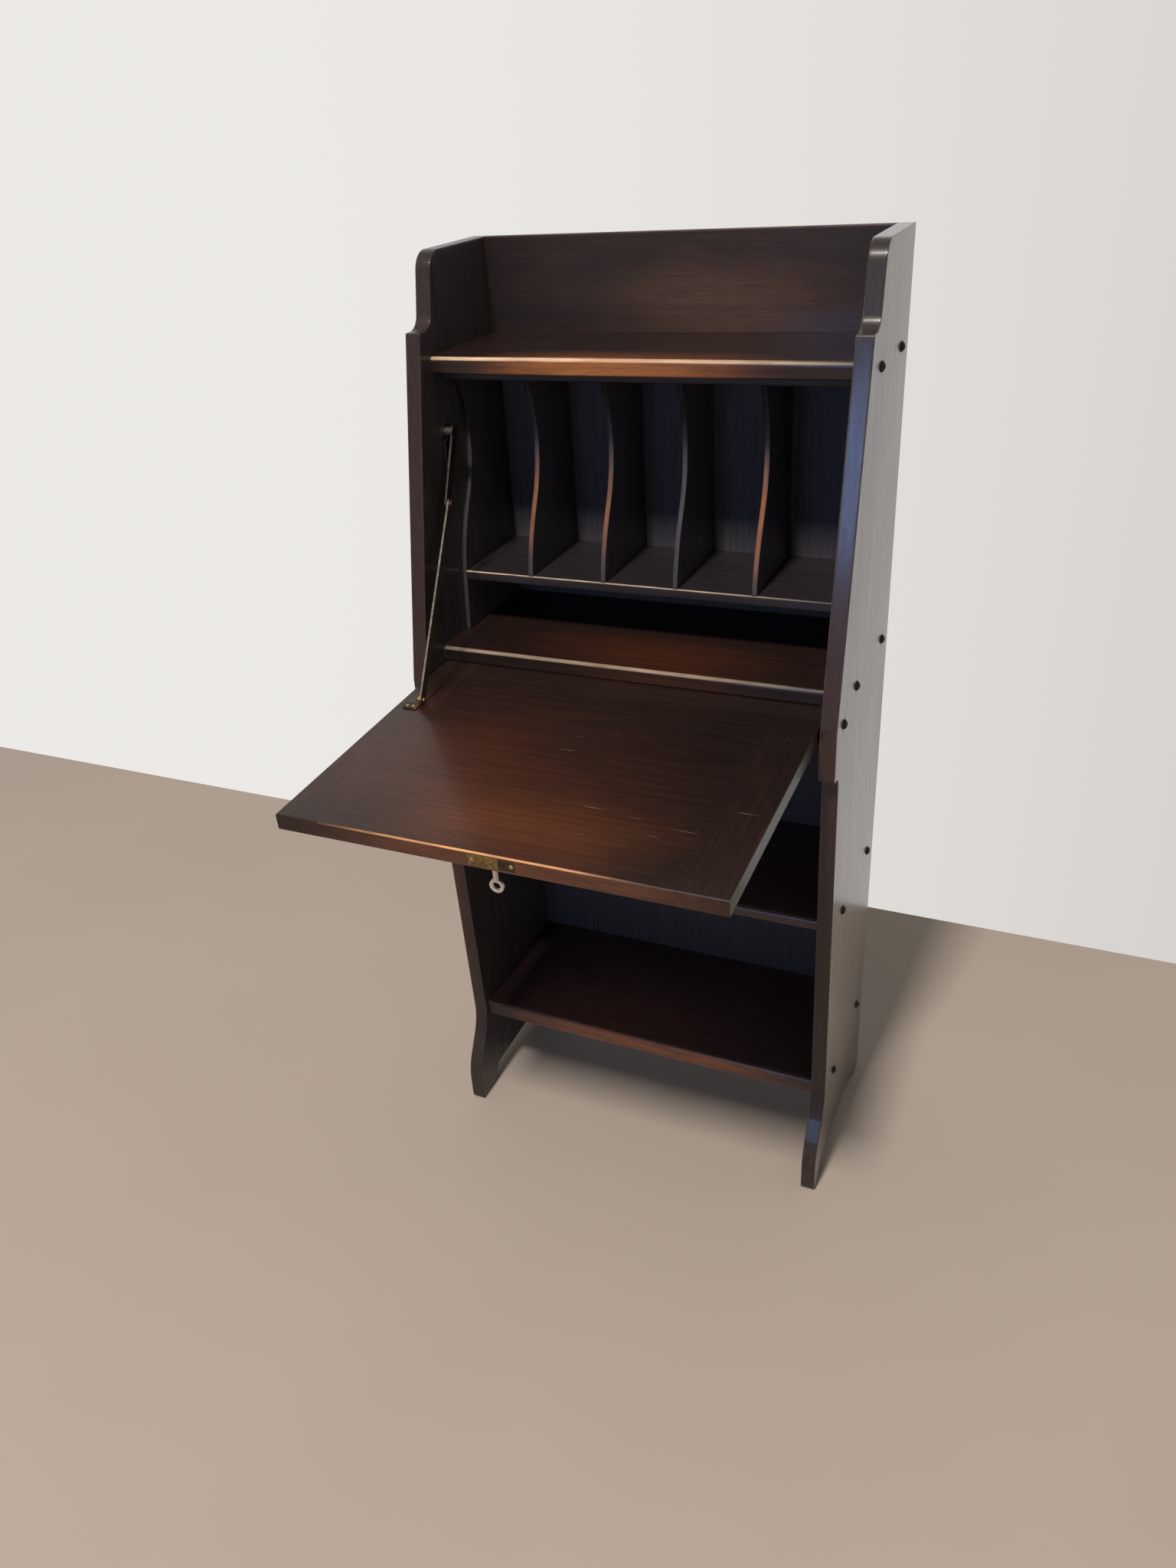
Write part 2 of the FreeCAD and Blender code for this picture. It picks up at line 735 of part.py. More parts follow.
def fall_boards():
    """Panel and cleats of the fall, level."""
    holes = stay_bracket_screws(screw_clear, False)
    panel = slab(-panel_half, panel_half, fall_corners())
    panel = panel.fuse([tongue(-1), tongue(1)]).removeSplitter()
    cuts = [selvedge_block(), lock_block(lock_clear), escutcheon_block()]
    cuts += [keyhole(-fall_board, 0, keyhole_clear)] + selvedge_screw_set(screw_clear, False)
    boards = {"fall_panel": panel.cut(cuts)}
    for name, hand in (("fall_cleat_left", -1), ("fall_cleat_right", 1)):
        x0 = panel_half if hand > 0 else -fall_half_width
        cleat = slab(x0, x0 + cleat_width, fall_corners())
        bored = [tongue(hand, tongue_clear), pivot_screw(hand, running_clear, False)]
        boards[name] = cleat.cut(bored + holes)
    return boards


def fall_pieces():
    """Everything of wood and metal fixed on the fall, at rest."""
    pieces = fall_boards()
    pieces["stay_bracket"] = stay_bracket()
    pieces["stay_bracket_pin"] = stay_bracket_pin()
    pieces["stay_bracket_screws"] = Part.makeCompound(stay_bracket_screws())
    return {name: hang(shape) for name, shape in pieces.items()}


def arm(start, end, bore_start, bore_end, eye):
    """A flat arm between two pivots that run across the case, with an eye of some radius at its start."""
    along = end - start
    length = along.Length
    along.normalize()
    across = Vector(1, 0, 0)
    thick = (across - along * across.dot(along)).normalize()
    wide = thick.cross(along)
    half = stay_arm_width / 2
    base = -stay_arm_thick / 2
    bar = Part.makeBox(length, stay_arm_width, stay_arm_thick, Vector(0, -half, base))
    rounds = [Part.makeCylinder(radius, stay_arm_thick, Vector(place, 0, base))
              for place, radius in ((0, eye), (length, half))]
    solid = bar.fuse(rounds).removeSplitter()
    solid.Placement = Placement(start, Rotation(along, wide, thick, "XYZ"))
    bores = []
    for place, radius in ((start, bore_start), (end, bore_end)):
        reach = Vector(stay_arm_width, 0, 0)
        bores.append(rod(place - reach, place + reach, radius))
    return solid.cut(bores)


def stay_upper_x():
    """Place across of the middle of the upper arm."""
    return stay_standoff - inner_half


def stay_anchor(x):
    """A point on the upper pivot's line."""
    return spot(x, stay_anchor_depth, stay_anchor_height)


def stay_elbow(x):
    """A point on the elbow's line at rest."""
    swing = math.radians(stay_upper_deg)
    return spot(x, stay_anchor_depth + stay_upper_length * math.sin(swing),
                stay_anchor_height - stay_upper_length * math.cos(swing))


def stay_plate_screws(grow=0, slotted=True):
    """Two small screws through the anchor plate into the left side."""
    face = stay_plate - inner_half
    edge = small_screw_edge * 2
    heights = [stay_anchor_height - drop for drop in (edge, stay_plate_drop)]
    return [screw(spot(face, stay_anchor_depth, height), Vector(-1, 0, 0), small_screw_sizes, grow, slotted)
            for height in heights]


def stay_pieces():
    """Anchor plate, stud, both arms and the elbow rivet, at rest."""
    wall = -inner_half
    face = wall + stay_plate
    half = stay_strip_width / 2
    low = stay_anchor_height - stay_plate_drop
    strip = block(wall, face, stay_anchor_depth - half, stay_anchor_depth + half, low, stay_anchor_height)
    foot = spot(wall, stay_anchor_depth, low)
    thickness = Vector(stay_plate, 0, 0)
    rounds = [rod(place, place + thickness, radius)
              for place, radius in ((stay_anchor(wall), stay_plate_width / 2), (foot, half))]
    plate = strip.fuse(rounds).removeSplitter().cut(stay_plate_screws(screw_clear, False))
    upper_x = stay_upper_x()
    arm_out = upper_x - stay_arm_thick / 2 - stay_arm_gap
    arm_in = upper_x + stay_arm_thick / 2
    shoulder = rod(stay_anchor(face), stay_anchor(arm_out), stay_shoulder_radius)
    stud = rod(stay_anchor(face), stay_anchor(arm_in), stay_stud_radius)
    head = rod(stay_anchor(upper_x), stay_anchor(arm_in), stay_stud_head)
    stud_bore = stay_stud_radius + running_clear
    upper = arm(stay_anchor(upper_x), stay_elbow(upper_x), stud_bore, stay_rivet_radius, stay_eye_radius)
    seat_floor = stay_anchor(upper_x - running_clear)
    upper = upper.cut(rod(seat_floor, stay_anchor(arm_in + cut_over), stay_stud_head + running_clear))
    lower_x = upper_x + stay_arm_thick + stay_skew_gap
    pivot = bracket_pivot()
    marker = hang(Part.Vertex(pivot))
    pin_bore = bracket_pin_radius + running_clear
    lower = arm(marker.Point, stay_elbow(lower_x), pin_bore, stay_rivet_radius, stay_arm_width / 2)
    rivet_in = stay_elbow(lower_x + stay_arm_thick / 2 + stay_skew_gap)
    rivet = rod(stay_elbow(lower_x - stay_arm_thick / 2), rivet_in, stay_rivet_radius)
    rivet_cap = Vector(stay_rivet_cap, 0, 0)
    rivet = rivet.fuse(rod(rivet_in, rivet_in + rivet_cap, stay_rivet_head)).removeSplitter()
    return {
        "stay_side_plate": plate,
        "stay_stud": stud.fuse([shoulder, head]).removeSplitter(),
        "stay_plate_screws": Part.makeCompound(stay_plate_screws()),
        "stay_upper_arm": upper,
        "stay_lower_arm": lower,
        "stay_elbow_rivet": rivet,
    }


def fasteners():
    """Shelf screws, pivot screws and nails."""
    return {
        "shelf_screws": Part.makeCompound(shelf_screw_set()),
        "pivot_screw_left": pivot_screw(-1),
        "pivot_screw_right": pivot_screw(1),
        "back_nails": Part.makeCompound(nail_set()),
    }


def build():
    """Make every piece and write it under its own name."""
    os.makedirs("parts", exist_ok=True)
    pieces = {}
    for group in (case_boards, pigeonholes, fall_pieces, lock_pieces, stay_pieces, fasteners):
        pieces.update(group())
    for name, shape in pieces.items():
        shape.exportStep(f"parts/{name}.step")


build()
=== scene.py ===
import math

import bpy
from mathutils import Matrix, Vector


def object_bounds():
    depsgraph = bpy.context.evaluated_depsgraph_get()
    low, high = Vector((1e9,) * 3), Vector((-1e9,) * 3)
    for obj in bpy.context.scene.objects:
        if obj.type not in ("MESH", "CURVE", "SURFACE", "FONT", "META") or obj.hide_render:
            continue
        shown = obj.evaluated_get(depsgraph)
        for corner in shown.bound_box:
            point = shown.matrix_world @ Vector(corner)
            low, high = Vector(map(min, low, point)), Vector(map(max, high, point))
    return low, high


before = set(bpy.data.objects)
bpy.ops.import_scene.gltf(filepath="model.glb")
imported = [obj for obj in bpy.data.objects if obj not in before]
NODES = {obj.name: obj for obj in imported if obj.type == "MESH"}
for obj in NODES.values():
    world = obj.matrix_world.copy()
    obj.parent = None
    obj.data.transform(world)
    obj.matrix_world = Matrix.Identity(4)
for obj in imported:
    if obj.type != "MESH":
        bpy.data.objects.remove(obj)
cad_low, cad_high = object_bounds()
FALL = ("fall_panel", "fall_cleat_left", "fall_cleat_right")
CHEEKS = ("pigeonhole_cheek_left", "pigeonhole_cheek_right")
DIVIDERS = tuple(f"pigeonhole_divider_{number}" for number in range(1, 5))

# Stain colours of the oak, from the deepest to where the finish is rubbed through
PITCH = (0.0060, 0.0040, 0.0042)
UMBER = (0.0150, 0.0080, 0.0065)
BROWN = (0.0300, 0.0130, 0.0085)
RUST = (0.0560, 0.0170, 0.0078)
AMBER = (0.1150, 0.0350, 0.0120)
HONEY = (0.2600, 0.0900, 0.0270)
RUBBED = (0.4400, 0.1900, 0.0750)
CREAM = (0.7200, 0.4900, 0.3000)

# Dark, middle and light streaks of single boards
# NIGHT, DUSK, VIOLET and SHADE are painted lighter than the stained oak, as painted fill light for the boards
# in the shade inside the case
NIGHT = ((0.0125, 0.0104, 0.0116), (0.0200, 0.0164, 0.0178), (0.0310, 0.0242, 0.0245))
DUSK = ((0.0300, 0.0268, 0.0312), (0.0460, 0.0400, 0.0455), (0.0680, 0.0560, 0.0600))
VIOLET = ((0.0300, 0.0265, 0.0310), (0.0420, 0.0365, 0.0415), (0.0570, 0.0480, 0.0520))
SLATE = ((0.0140, 0.0098, 0.0088), (0.0240, 0.0162, 0.0140), (0.0370, 0.0238, 0.0192))
TAWNY = ((0.0100, 0.0058, 0.0046), (0.0190, 0.0104, 0.0076), (0.0330, 0.0174, 0.0112))
SHADE = ((0.0400, 0.0235, 0.0215), (0.0640, 0.0340, 0.0285), (0.0960, 0.0460, 0.0340))

# Tints of faces, edges and spots
SIDE_EDGE = (0.0340, 0.0140, 0.0105)
# The sides' inner faces, painted lighter than the outer faces as painted fill light
SIDE_INNER_FILL_LIGHT = (0.0600, 0.0515, 0.0520)
RAW_REAR = (0.1500, 0.0900, 0.0570)
# Painted light on the gallery's board: a warm pool of light, a dark painted reflection of the left side,
# painted shade at the right end
GALLERY_LIT_PATCH = (0.0780, 0.0360, 0.0220)
GALLERY_LEFT_REFLECTION = (0.0110, 0.0070, 0.0065)
GALLERY_RIGHT_SHADE = (0.0130, 0.0090, 0.0080)
# Painted highlights along the rounded noses, laid on the wear of the arrises
TOP_ARRIS_SHEEN_AND_WEAR = (0.6600, 0.4500, 0.2800)
DESK_ARRIS_SHEEN_AND_WEAR = (0.4000, 0.2800, 0.1800)
# A painted highlight on the pigeonhole shelf's arris, and painted shadow of the top shelf on the dividers'
# tops
PIGEON_ARRIS_HIGHLIGHT = (0.6200, 0.4400, 0.2800)
PIGEON_TOP_SHADOW = (0.0060, 0.0050, 0.0060)
# A painted warm pool of light on the bottom shelf
BOTTOM_LIT_PATCH = (0.1550, 0.0660, 0.0430)
BOTTOM_EDGE = (0.2800, 0.0960, 0.0400)
# A painted warm pool of light on the fall
FALL_LIT_PATCH = (0.0520, 0.0158, 0.0084)
FALL_EDGE = (0.1050, 0.0380, 0.0190)
# A painted highlight along the fall's front arris, laid on its wear
FALL_ARRIS_SHEEN_AND_WEAR = (0.7200, 0.3400, 0.1400)
PORE_TONE = (0.0030, 0.0020, 0.0020)
CRACK_TONE = (0.0040, 0.0030, 0.0030)
SCRATCH_TONE = (0.3000, 0.2600, 0.2200)

# Clean and tarnished colours of the metals
BRASS = ((0.42, 0.27, 0.10), (0.075, 0.045, 0.026))
BRACKET_BRASS = ((0.55, 0.33, 0.10), (0.060, 0.042, 0.026))
DARK_BRASS = ((0.17, 0.14, 0.11), (0.030, 0.026, 0.024))
GREY_BRASS = ((0.30, 0.255, 0.195), (0.045, 0.038, 0.032))
SCREW_BRASS = ((0.62, 0.52, 0.34), (0.16, 0.11, 0.06))
IRON = ((0.060, 0.048, 0.042), (0.014, 0.011, 0.010))
NICKEL = ((0.80, 0.75, 0.68), (0.45, 0.38, 0.30))

# Ways that surfaces face, and where a tint on them starts and is full
FRONT = (0.0, -1.0, 0.0)
REAR = (0.0, 1.0, 0.0)
LEFT = (-1.0, 0.0, 0.0)
RIGHT = (1.0, 0.0, 0.0)
UP = (0.0, 0.0, 1.0)
NOSE = (0.0, -0.7071, 0.7071)
FLAT = (0.55, 0.90)
ROUND = (0.82, 0.96)
SHARP = (0.74, 0.92)

# Patterns of the materials: scales across and along a board, tilts in radians, sizes in metres
SWAY_SCALES = (6.0, 1.6)
STREAK_SCALES = (230.0, 4.5)
FIBRE_SCALES = (800.0, 14.0)
PORE_SCALES = (1300.0, 38.0)
TINT_SCALES = (110.0, 14.0)
RUB_SCALES = (90.0, 22.0)
SCRATCH_SCALES = (16.0, 700.0, 16.0)
SCRATCH_SHIFT = (0.3, 0.1, 0.0)
SPECK_SCALE = 260.0
RING_WIDTH = 0.0085
RING_SWAY = 0.06
PITH_TILT = {"x": (0.0, 0.05, 0.07), "y": (0.06, 0.0, 0.05), "z": (0.05, 0.07, 0.0)}
WOOD_BUMP = 0.00016
FILM_BUMP = 0.00003
METAL_BUMP = 0.00012
METAL_EASE = 0.0006

# Cracks at the screws and how screw heads are told apart, in metres
CRACK_HALF_WIDTH = 0.0028
CRACK_HALF_LENGTH = 0.024
STAIN_RADIUS = 0.0105
HEAD_DEPTH = 0.004
SCREW_SPACING = 0.03

# Colours of the surroundings, and where one passes into the next along a direction's axis
WALL_LIT = (0.84, 0.82, 0.79)
WALL_DIM = (0.60, 0.575, 0.555)
CEILING = (0.30, 0.295, 0.29)
ROOM = (0.34, 0.335, 0.33)
FILL_LOW = (0.60, 0.59, 0.60)
FILL_HIGH = (0.10, 0.10, 0.10)
FILL_REAR = (0.10, 0.10, 0.10)
FILL_TOP = (0.54, 0.53, 0.52)
WALL_SHADING = (-0.70, 0.55)
CEILING_RISE = (0.45, 0.80)
FRONT_TO_REAR = (-0.30, 0.10)
LOW_TO_HIGH = (0.15, 0.40)
HIGH_TO_TOP = (0.62, 0.85)
FLOOR_DEEP = (0.375, 0.306, 0.252)
FLOOR_PALE = (0.415, 0.340, 0.280)
FLOOR_REACH = 6.0
WALL_PLACE = 0.72

# The photograph's camera: place in metres, angles in degrees, lens in millimetres
EYE = (0.51215, -1.14776, 1.33740)
AZIMUTH = 26.2384
ELEVATION = 29.9553
ROLL = -4.4719
SENSOR_WIDTH = 36.0
LENS = 27.538
LENS_SHIFT = (0.01378, 0.00665)
CLIP = (0.05, 50.0)


class Graph:
    """Short calls for building one material's node tree."""

    def __init__(self, name):
        self.material = bpy.data.materials.new(name)
        self.material.use_nodes = True
        self.tree = self.material.node_tree
        self.tree.nodes.clear()
        places = self.tree.nodes.new("ShaderNodeTexCoord")
        self.coords = places.outputs["Object"]
        self.upright = places.outputs["Normal"]

    def plug(self, socket, value):
        """Link an output to a socket, or set a constant on it."""
        if isinstance(value, bpy.types.NodeSocket):
            self.tree.links.new(value, socket)
        elif value is not None:
            socket.default_value = value

    def math(self, kind, a, b=None, c=None, clamp=False):
        n = self.tree.nodes.new("ShaderNodeMath")
        n.operation = kind
        n.use_clamp = clamp
        for socket, value in zip(n.inputs, (a, b, c)):
            self.plug(socket, value)
        return n.outputs[0]

    def vector(self, kind, a, b=None):
        n = self.tree.nodes.new("ShaderNodeVectorMath")
        n.operation = kind
        self.plug(n.inputs[0], a)
        self.plug(n.inputs[1], b)
        return n.outputs["Value"] if kind in ("DOT_PRODUCT", "LENGTH") else n.outputs["Vector"]

    def stretch(self, vector, scale=(1, 1, 1), shift=(0, 0, 0), turn=(0, 0, 0)):
        n = self.tree.nodes.new("ShaderNodeMapping")
        self.plug(n.inputs["Vector"], vector)
        self.plug(n.inputs["Location"], shift)
        self.plug(n.inputs["Rotation"], turn)
        self.plug(n.inputs["Scale"], scale)
        return n.outputs[0]

    def noise(self, vector, scale=1.0, detail=3.0, rough=0.55):
        n = self.tree.nodes.new("ShaderNodeTexNoise")
        self.plug(n.inputs["Vector"], vector)
        self.plug(n.inputs["Scale"], scale)
        self.plug(n.inputs["Detail"], detail)
        self.plug(n.inputs["Roughness"], rough)
        return n.outputs["Fac"]

    def cells(self, vector, scale):
        n = self.tree.nodes.new("ShaderNodeTexVoronoi")
        self.plug(n.inputs["Vector"], vector)
        self.plug(n.inputs["Scale"], scale)
        return n.outputs["Distance"]

    def fit(self, value, low, high, to_low=0.0, to_high=1.0):
        n = self.tree.nodes.new("ShaderNodeMapRange")
        n.interpolation_type = "SMOOTHSTEP"
        for socket, v in zip(n.inputs, (value, low, high, to_low, to_high)):
            self.plug(socket, v)
        return n.outputs[0]

    def ramp(self, value, stops):
        n = self.tree.nodes.new("ShaderNodeValToRGB")
        self.plug(n.inputs[0], value)
        band = n.color_ramp
        while len(band.elements) < len(stops):
            band.elements.new(0.5)
        for element, (place, colour) in zip(band.elements, stops):
            element.position = place
            element.color = (*colour, 1.0)
        return n.outputs["Color"]

    def mix(self, share, a, b):
        n = self.tree.nodes.new("ShaderNodeMix")
        n.data_type = "RGBA"
        self.plug(n.inputs[0], share)
        self.plug(n.inputs[6], a if isinstance(a, bpy.types.NodeSocket) else (*a, 1.0))
        self.plug(n.inputs[7], b if isinstance(b, bpy.types.NodeSocket) else (*b, 1.0))
        return n.outputs[2]

    def near(self, centre, reach):
        """Distance from a point of the bureau, counted in the given reaches along x, y and z."""
        share = tuple(1 / r if r else 0.0 for r in reach)
        away = self.vector("SUBTRACT", self.coords, centre)
        return self.vector("LENGTH", self.vector("MULTIPLY", away, share))

    def facing(self, way):
        """How far a surface faces a direction, in the piece's own frame."""
        return self.vector("DOT_PRODUCT", self.upright, way)

    def edges(self, radius):
        """0 on flats up to 1 on a sharp edge, and the normal of the eased edge."""
        soft = self.tree.nodes.new("ShaderNodeBevel")
        soft.samples = 6
        self.plug(soft.inputs["Radius"], radius)
        flat = self.tree.nodes.new("ShaderNodeNewGeometry")
        turn = self.vector("DOT_PRODUCT", soft.outputs[0], flat.outputs["Normal"])
        return self.fit(turn, 0.995, 0.72), soft.outputs[0]

    def bump(self, height, distance, strength, normal):
        n = self.tree.nodes.new("ShaderNodeBump")
        self.plug(n.inputs["Height"], height)
        self.plug(n.inputs["Distance"], distance)
        self.plug(n.inputs["Strength"], strength)
        self.plug(n.inputs["Normal"], normal)
        return n.outputs[0]

    def finish(self, **sockets):
        """The principled shader, with sockets named in lower case and underscores."""
        shader = self.tree.nodes.new("ShaderNodeBsdfPrincipled")
        out = self.tree.nodes.new("ShaderNodeOutputMaterial")
        for name, value in sockets.items():
            name = name.replace("_", " ").title().replace("Ior", "IOR")
            self.plug(shader.inputs[name], value)
        self.tree.links.new(shader.outputs[0], out.inputs[0])
        return self.material


def along(axis, across, lengthwise):
    """Scales of a pattern that differ across a board and along its axis."""
    return tuple(lengthwise if name == axis else across for name in "xyz")


def oak_grain(g, axis, shift):
    """Growth rings about a slanted pith, fibres and pores, for a board cut along an axis."""
    moved = g.stretch(g.coords, shift=shift)
    sway = g.noise(g.stretch(moved, along(axis, *SWAY_SCALES)), 1.0, 3.0, 0.55)
    pith = g.stretch(moved, along(axis, 1.0, 0.0), turn=PITH_TILT[axis])
    reach = g.math("ADD", g.vector("LENGTH", pith), g.math("MULTIPLY", sway, RING_SWAY))
    rings = g.fit(g.math("SINE", g.math("MULTIPLY", reach, 2 * math.pi / RING_WIDTH)), -1.0, 1.0)
    streaks = g.noise(g.stretch(moved, along(axis, *STREAK_SCALES)), 1.0, 4.0, 0.6)
    fibres = g.noise(g.stretch(moved, along(axis, *FIBRE_SCALES)), 1.0, 3.0, 0.6)
    pores = g.noise(g.stretch(moved, along(axis, *PORE_SCALES)), 1.0, 2.0, 0.6)
    pores = g.math("MULTIPLY", g.fit(pores, 0.55, 0.68), g.fit(rings, 0.1, 0.9, 0.35, 1.0))
    grain = g.math("MULTIPLY", rings, 0.09)
    grain = g.math("ADD", grain, g.math("MULTIPLY", streaks, 0.51))
    grain = g.math("ADD", grain, g.math("MULTIPLY", fibres, 0.40))
    return moved, g.fit(grain, 0.18, 0.82), streaks, fibres, pores


def oak(name, axis, shift, tones=(PITCH, UMBER, BROWN), figure=0.8, warm=0.25, light_and_shade=(), gloss=0.34,
        coat=0.5, front_coat=1.0, film_rough=0.13, ease=0.003, wear=1.0, worn=(AMBER, RUBBED),
        faces=(), marks=None):
    """Dark stained and polished oak.

    The first list of spots holds painted light and shade: warm pools of light, painted reflections and
    painted shade. Faces holds spots for surfaces that face one way, each with that way and with where its
    tint starts and is full in front; some of these are painted highlights, painted shadow and painted fill
    light.
    """
    g = Graph(name)
    moved, grain, streaks, fibres, pores = oak_grain(g, axis, shift)
    grain = g.math("MULTIPLY_ADD", grain, figure, 0.5 - 0.5 * figure)
    cloud = g.noise(moved, 4.5, 3.0, 0.6)
    colour = g.ramp(grain, [(0.05, tones[0]), (0.50, tones[1]), (0.95, tones[2])])
    redder = g.ramp(grain, [(0.05, tones[1]), (0.55, tones[2]), (1.0, RUST)])
    colour = g.mix(g.fit(cloud, 0.40, 0.72, 0.0, warm), colour, redder)
    # Painted light and shade: warm pools of light, painted reflections and painted shade, streaked with the
    # grain
    for centre, reach, strength, tone in light_and_shade:
        ragged = g.math("MULTIPLY", g.math("SUBTRACT", cloud, 0.5), 1.1)
        spread = g.math("ADD", g.near(centre, reach), ragged)
        bright = tuple(1.45 * c for c in tone)
        deep = tuple(0.45 * c for c in tone)
        streaked = g.ramp(grain, [(0.0, deep), (0.5, tone), (1.0, bright)])
        colour = g.mix(g.fit(spread, 1.0, 0.1, 0.0, strength), colour, streaked)
    # Tints by facing: own colours of edges and backs, and also painted highlights, painted shadow and painted
    # fill light
    for way, (start, full), centre, reach, strength, tone in faces:
        faced = g.fit(g.facing(way), start, full)
        share = g.math("MULTIPLY", faced, g.fit(g.near(centre, reach), 1.0, 0.3))
        ragged = g.noise(g.stretch(moved, along(axis, *TINT_SCALES)), 1.0, 3.0, 0.6)
        ragged = g.fit(ragged, 0.35, 0.65, 0.55 * strength, strength)
        colour = g.mix(g.math("MULTIPLY", share, ragged), colour, tone)
    colour = g.mix(g.math("MULTIPLY", pores, 0.5), colour, PORE_TONE)
    edge, soft = g.edges(ease)
    rub = g.noise(g.stretch(moved, along(axis, *RUB_SCALES)), 1.0, 4.0, 0.65)
    rub = g.math("MULTIPLY", g.fit(rub, 0.40, 0.66, 0.3, 1.0), edge)
    colour = g.mix(g.math("MULTIPLY", rub, 0.55 * wear), colour, g.mix(fibres, *worn))
    rough = g.math("ADD", gloss - 0.08, g.math("MULTIPLY", cloud, 0.16))
    rough = g.math("ADD", rough, g.math("MULTIPLY", pores, 0.12))
    if marks:
        colour, rough = marks(g, colour, rough)
    height = g.math("SUBTRACT", g.math("MULTIPLY", fibres, 0.5), g.math("MULTIPLY", pores, 0.6))
    normal = g.bump(height, WOOD_BUMP, 0.5, soft)
    smooth = g.bump(height, FILM_BUMP, 0.25, soft)
    film = g.fit(streaks, 0.25, 0.75, 0.8 * coat, 1.1 * coat)
    film = g.math("MULTIPLY", film, g.fit(g.facing(FRONT), 0.45, 0.75, 1.0, front_coat))
    return g.finish(base_color=colour, roughness=rough, normal=normal, specular_ior_level=0.2,
                    coat_weight=film, coat_roughness=film_rough, coat_normal=smooth)


def scratches(g, colour, rough):
    """Fine pale scratches and rubbed specks on the writing surface."""
    wide = g.noise(g.stretch(g.coords, SCRATCH_SCALES, SCRATCH_SHIFT), 1.0, 1.0, 0.5)
    line = g.math("MULTIPLY", g.fit(wide, 0.755, 0.775), g.fit(g.noise(g.coords, 9.0, 2.0), 0.56, 0.64))
    speck = g.fit(g.cells(g.coords, SPECK_SCALE), 0.14, 0.06)
    speck = g.math("MULTIPLY", speck, g.fit(g.noise(g.coords, 14.0, 2.0), 0.66, 0.74))
    mark = g.math("MAXIMUM", g.math("MULTIPLY", line, 0.55), g.math("MULTIPLY", speck, 0.35))
    mark = g.math("MULTIPLY", mark, g.fit(g.facing(UP), 0.5, 0.8))
    return g.mix(mark, colour, SCRATCH_TONE), g.math("ADD", rough, g.math("MULTIPLY", mark, 0.2))


def splits(places, way):
    """Short dark cracks along the grain above and below the screws on the outer face of a side."""
    def mark(g, colour, rough):
        total = 0.0
        for y, z in places:
            crack = g.near((0.0, y, z), (0.0, CRACK_HALF_WIDTH, CRACK_HALF_LENGTH))
            stain = g.near((0.0, y, z), (0.0, STAIN_RADIUS, STAIN_RADIUS))
            crack = g.fit(crack, 1.0, 0.5, 0.0, 0.95)
            stain = g.fit(stain, 1.0, 0.7, 0.0, 0.6)
            total = g.math("MAXIMUM", total, g.math("MAXIMUM", crack, stain))
        total = g.math("MULTIPLY", total, g.fit(g.facing(way), 0.7, 0.9))
        return g.mix(total, colour, CRACK_TONE), g.math("ADD", rough, g.math("MULTIPLY", total, 0.4))
    return mark


def metal(name, tones, rough, grime=0.5, shine=1.0, spread=0.16, dull=None):
    """Old metal with tarnish in patches and brighter rubbed edges; dull is a centre and reach of dirt."""
    clean, tarnish = tones
    g = Graph(name)
    blotch = g.noise(g.coords, 130.0, 4.0, 0.65)
    fine = g.noise(g.coords, 1100.0, 2.0, 0.5)
    edge, soft = g.edges(METAL_EASE)
    share = g.fit(blotch, 0.5 - spread, 0.5 + spread, grime - 0.35, grime + 0.35)
    share = g.math("SUBTRACT", share, g.math("MULTIPLY", edge, 0.5), clamp=True)
    if dull:
        share = g.math("MAXIMUM", share, g.fit(g.near(*dull), 1.05, 0.85))
    colour = g.mix(share, clean, tarnish)
    colour = g.mix(g.math("MULTIPLY", fine, 0.3), colour, tuple(0.4 * c for c in clean))
    roughness = g.math("ADD", rough, g.math("MULTIPLY", share, 0.25))
    roughness = g.math("ADD", roughness, g.math("MULTIPLY", fine, 0.08))
    normal = g.bump(g.math("ADD", blotch, g.math("MULTIPLY", fine, 0.4)), METAL_BUMP, 0.5, soft)
    return g.finish(base_color=colour, metallic=shine, roughness=roughness, normal=normal)


def dress(material, *names):
    """Give CAD nodes a material."""
    for name in names:
        slots = NODES[name].data.materials
        slots.clear()
        slots.append(material)


def patch(names, centre_shares, reach_shares):
    """Centre and reach in metres, from shares of the box around CAD nodes; a reach of 0 has no end."""
    points = [v.co for name in names for v in NODES[name].data.vertices]
    lows = [min(p[i] for p in points) for i in range(3)]
    sizes = [max(p[i] for p in points) - lows[i] for i in range(3)]
    centre = tuple(low + share * size for low, share, size in zip(lows, centre_shares, sizes))
    reach = tuple(share * size for share, size in zip(reach_shares, sizes))
    return centre, reach


def spot(names, centre_shares, reach_shares, strength, tone):
    """A patch that takes on another colour."""
    return (*patch(names, centre_shares, reach_shares), strength, tone)


def everywhere(strength, tone):
    """A spot without an end."""
    return (0.0, 0.0, 0.0), (0.0, 0.0, 0.0), strength, tone


def screw_places():
    """Where the screws of a side are, as y and z, read from the frame."""
    points = [v.co for name in ("shelf_screws", "pivot_screw_right") for v in NODES[name].data.vertices
              if v.co.x > cad_high[0] - HEAD_DEPTH]
    groups = []
    for p in points:
        home = next((group for group in groups if (group[0] - p).length < SCREW_SPACING), None)
        if home is None:
            groups.append([p])
        else:
            home.append(p)
    return [(sum(p.y for p in group) / len(group), sum(p.z for p in group) / len(group)) for group in groups]


